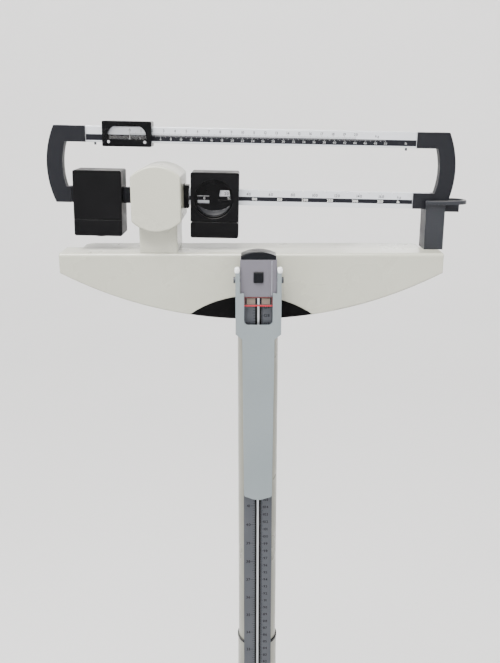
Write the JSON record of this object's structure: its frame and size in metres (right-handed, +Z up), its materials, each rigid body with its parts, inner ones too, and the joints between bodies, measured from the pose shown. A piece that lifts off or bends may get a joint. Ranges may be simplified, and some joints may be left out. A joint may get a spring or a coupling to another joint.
{
  "type": "physician beam scale",
  "caption": "Column scale for weighing people, with a low platform, a tilting double beam with sliding poises, and a telescopic height rod with a swinging tongue.",
  "frame": {"origin": "on the floor, under the middle of the whole outline", "axes": "+Z up, +X along the beam towards its free end, -Y towards the platform's front edge"},
  "size_m": [0.4858, 0.519, 1.5565],
  "materials": {
    "cream_enamel": "smooth gloss stove enamel, cream white",
    "column_enamel": "smooth gloss stove enamel, cream",
    "base_enamel": "smooth enamel, cream white",
    "cast_base": "painted casting",
    "lever_steel": "bare lever casting",
    "knife_steel": "ground hardened steel",
    "bright_steel": "bright fasteners",
    "black_metal": "satin black paint",
    "black_plastic": "moulded black plastic",
    "bar_aluminium": "satin anodised bar with a printed scale",
    "rod_aluminium": "satin anodised channel with a printed scale",
    "slider_plastic": "satin grey moulding",
    "tongue_plastic": "bluish white moulding",
    "rubber": "black rubber",
    "mat_rubber": "ribbed rubber",
    "clear_plastic": "clear index plate"
  },
  "bodies": {
    "stand": {"base_frame": "cast_base", "rubber_pads": "rubber", "lever_stands": "lever_steel", "rear_deck_cover": "base_enamel", "castor_brackets": "bright_steel", "castor_axles": "bright_steel", "column_socket": "cast_base", "socket_bolts": "bright_steel", "lower_column": "column_enamel", "upper_column": "column_enamel", "column_ring": "black_plastic", "head_front_shell": "cream_enamel", "head_rear_cover": "cream_enamel", "recess_plate": "black_plastic", "cover_screws": "bright_steel", "head_frame": "lever_steel", "tower_neck": "cream_enamel", "tower_front_housing": "cream_enamel", "tower_rear_housing": "cream_enamel", "fulcrum_bearings": "knife_steel", "catch_post": "black_plastic", "catch_loop": "black_plastic", "rod_outer": "rod_aluminium", "rod_saddles": "black_plastic"},
    "platform": {"platform_plate": "base_enamel", "platform_mat": "mat_rubber", "platform_posts": "lever_steel"},
    "long_lever": {"long_lever": "lever_steel", "long_lever_knives": "knife_steel"},
    "short_lever": {"short_lever": "lever_steel", "short_lever_knives": "knife_steel"},
    "draft_rod": {"draft_rod": "bright_steel"},
    "transfer_lever": {"transfer_lever": "bright_steel"},
    "link": {"link_stirrup": "bright_steel"},
    "beam": {"left_yoke": "black_plastic", "right_yoke": "black_plastic", "upper_bar": "bar_aluminium", "lower_bar": "bar_aluminium", "stop_pins": "black_metal", "fulcrum_block": "black_metal", "beam_knives": "knife_steel"},
    "coarse_poise": {"coarse_poise": "black_metal", "coarse_poise_base": "black_metal", "coarse_dial": "black_plastic", "coarse_pawl": "bright_steel"},
    "fine_poise": {"fine_poise": "black_plastic", "fine_poise_screws": "bright_steel", "fine_index": "clear_plastic"},
    "balance_weight": {"balance_weight": "black_metal", "balance_screw": "black_metal"},
    "inner_rod": {"rod_inner": "rod_aluminium", "rod_cap": "black_plastic"},
    "slider": {"slider_body": "slider_plastic", "reading_frame": "clear_plastic", "tongue_pins": "bright_steel"},
    "button": {"slider_button": "black_plastic"},
    "tongue": {"tongue": "tongue_plastic"},
    "wheel_left": {"castor_wheel_left": "rubber"},
    "wheel_right": {"castor_wheel_right": "rubber"}
  },
  "joints": [
    {"name": "beam_tilt", "type": "hinge", "parent": "stand", "child": "beam", "pos_m": [-0.1138, 0.195, 1.472], "axis": [0, -1, 0], "range_deg": [0, 2.2]},
    {"name": "coarse_slide", "type": "slide", "parent": "beam", "child": "coarse_poise", "axis": [0.9998, 0, -0.0192], "range_m": [0, 0.2]},
    {"name": "fine_slide", "type": "slide", "parent": "beam", "child": "fine_poise", "axis": [0.9998, 0, -0.0192], "range_m": [-0.0075, 0.288]},
    {"name": "balance_slide", "type": "slide", "parent": "beam", "child": "balance_weight", "axis": [0.9998, 0, -0.0192], "range_m": [-0.004, 0.008]},
    {"name": "link_slide", "type": "slide", "parent": "stand", "child": "link", "axis": [0, 0, 1], "range_m": [-0.0005, 0]},
    {"name": "transfer_tilt", "type": "hinge", "parent": "stand", "child": "transfer_lever", "pos_m": [0.102, 0.191, 1.378], "axis": [0, -1, 0], "range_deg": [0, 0.125]},
    {"name": "draft_slide", "type": "slide", "parent": "stand", "child": "draft_rod", "axis": [0, 0, 1], "range_m": [-0.00025, 0]},
    {"name": "long_lever_tilt", "type": "hinge", "parent": "stand", "child": "long_lever", "pos_m": [0, -0.215, 0.039], "axis": [-1, 0, 0], "range_deg": [0, 0.035]},
    {"name": "short_lever_tilt", "type": "hinge", "parent": "stand", "child": "short_lever", "pos_m": [0, 0.095, 0.039], "axis": [1, 0, 0], "range_deg": [0, 0.035]},
    {"name": "platform_slide", "type": "slide", "parent": "stand", "child": "platform", "axis": [0, 0, 1], "range_m": [-0.00005, 0]},
    {"name": "rod_extension", "type": "slide", "parent": "stand", "child": "inner_rod", "axis": [0, 0, 1], "range_m": [0, 0.7]},
    {"name": "slider_travel", "type": "slide", "parent": "inner_rod", "child": "slider", "axis": [0, 0, 1], "range_m": [-0.7, 0]},
    {"name": "tongue_swing", "type": "hinge", "parent": "slider", "child": "tongue", "pos_m": [0, 0.131, 1.385], "axis": [-1, 0, 0], "range_deg": [0, 90]},
    {"name": "button_press", "type": "slide", "parent": "slider", "child": "button", "axis": [0, 1, 0], "range_m": [0, 0.002], "stiffness_N_per_m": 1000},
    {"name": "wheel_left_spin", "type": "hinge", "parent": "stand", "child": "wheel_left", "pos_m": [-0.118, 0.243, 0.021], "axis": [1, 0, 0], "continuous": true},
    {"name": "wheel_right_spin", "type": "hinge", "parent": "stand", "child": "wheel_right", "pos_m": [0.118, 0.243, 0.021], "axis": [1, 0, 0], "continuous": true}
  ],
  "couplings": [
    {"joint": "link_slide", "follows": "beam_tilt", "m_per_rad": -0.012},
    {"joint": "transfer_tilt", "follows": "beam_tilt", "ratio": 0.052678},
    {"joint": "draft_slide", "follows": "beam_tilt", "m_per_rad": -0.0053731},
    {"joint": "long_lever_tilt", "follows": "beam_tilt", "ratio": 0.013399},
    {"joint": "short_lever_tilt", "follows": "beam_tilt", "ratio": 0.013399},
    {"joint": "platform_slide", "follows": "beam_tilt", "m_per_rad": -0.0010317}
  ]
}
